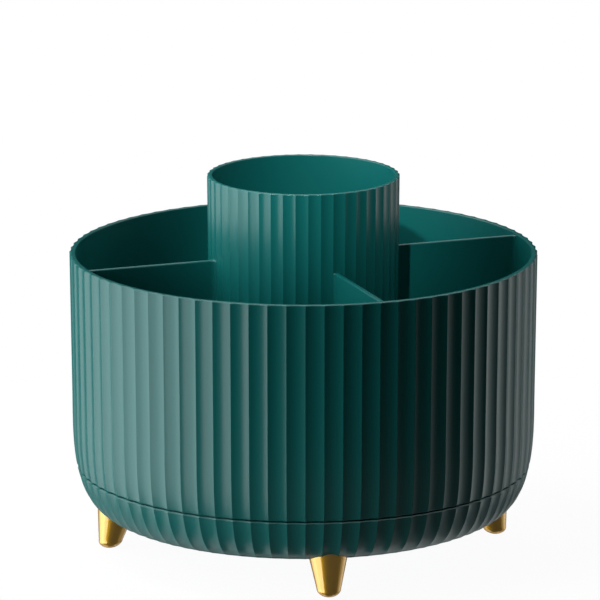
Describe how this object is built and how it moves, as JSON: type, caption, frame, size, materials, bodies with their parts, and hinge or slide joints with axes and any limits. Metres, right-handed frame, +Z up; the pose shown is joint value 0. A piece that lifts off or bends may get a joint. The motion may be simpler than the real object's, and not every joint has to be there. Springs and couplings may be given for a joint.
{
  "type": "rotating makeup organizer",
  "caption": "Round fluted desk organizer. A divided drum with a tall centre cup turns on a bowl-shaped base with tapered feet.",
  "frame": {"origin": "on the axis of rotation, on the table that the feet stand on", "axes": "+Z up along the axis of rotation, -Y towards the front of the picture, +X to its right"},
  "size_m": [0.184, 0.184, 0.149],
  "materials": {
    "drum": "satin dark green",
    "divider": "satin dark green",
    "cup": "satin dark green",
    "bowl": "satin dark green",
    "foot": "polished gold",
    "race": "pressed steel",
    "ball": "polished steel",
    "screw": "zinc plated",
    "bush": "natural acetal",
    "cage": "natural acetal"
  },
  "bodies": {
    "base": {"base_bowl": "bowl", "foot_1": "foot", "foot_2": "foot", "foot_3": "foot", "foot_4": "foot", "foot_screw_1": "screw", "foot_screw_2": "screw", "foot_screw_3": "screw", "foot_screw_4": "screw", "lower_race": "race", "lower_race_screw_1": "screw", "lower_race_screw_2": "screw", "lower_race_screw_3": "screw", "lower_race_screw_4": "screw", "pivot_bush": "bush"},
    "drum": {"drum_shell": "drum", "divider_1": "divider", "divider_2": "divider", "divider_3": "divider", "divider_4": "divider", "center_cup": "cup", "upper_race": "race", "upper_race_screw_1": "screw", "upper_race_screw_2": "screw", "upper_race_screw_3": "screw", "upper_race_screw_4": "screw", "pivot_washer": "race", "pivot_screw": "screw"},
    "ball_ring": {"ball_cage": "cage", "ball_1": "ball", "ball_2": "ball", "ball_3": "ball", "ball_4": "ball", "ball_5": "ball", "ball_6": "ball", "ball_7": "ball", "ball_8": "ball", "ball_9": "ball", "ball_10": "ball", "ball_11": "ball", "ball_12": "ball"}
  },
  "joints": [
    {"name": "drum_spin", "type": "hinge", "parent": "base", "child": "drum", "pos_m": [0, 0, 0], "axis": [0, 0, 1], "continuous": true},
    {"name": "cage_spin", "type": "hinge", "parent": "base", "child": "ball_ring", "pos_m": [0, 0, 0], "axis": [0, 0, 1], "continuous": true}
  ],
  "couplings": [
    {"joint": "cage_spin", "follows": "drum_spin", "ratio": 0.5}
  ]
}
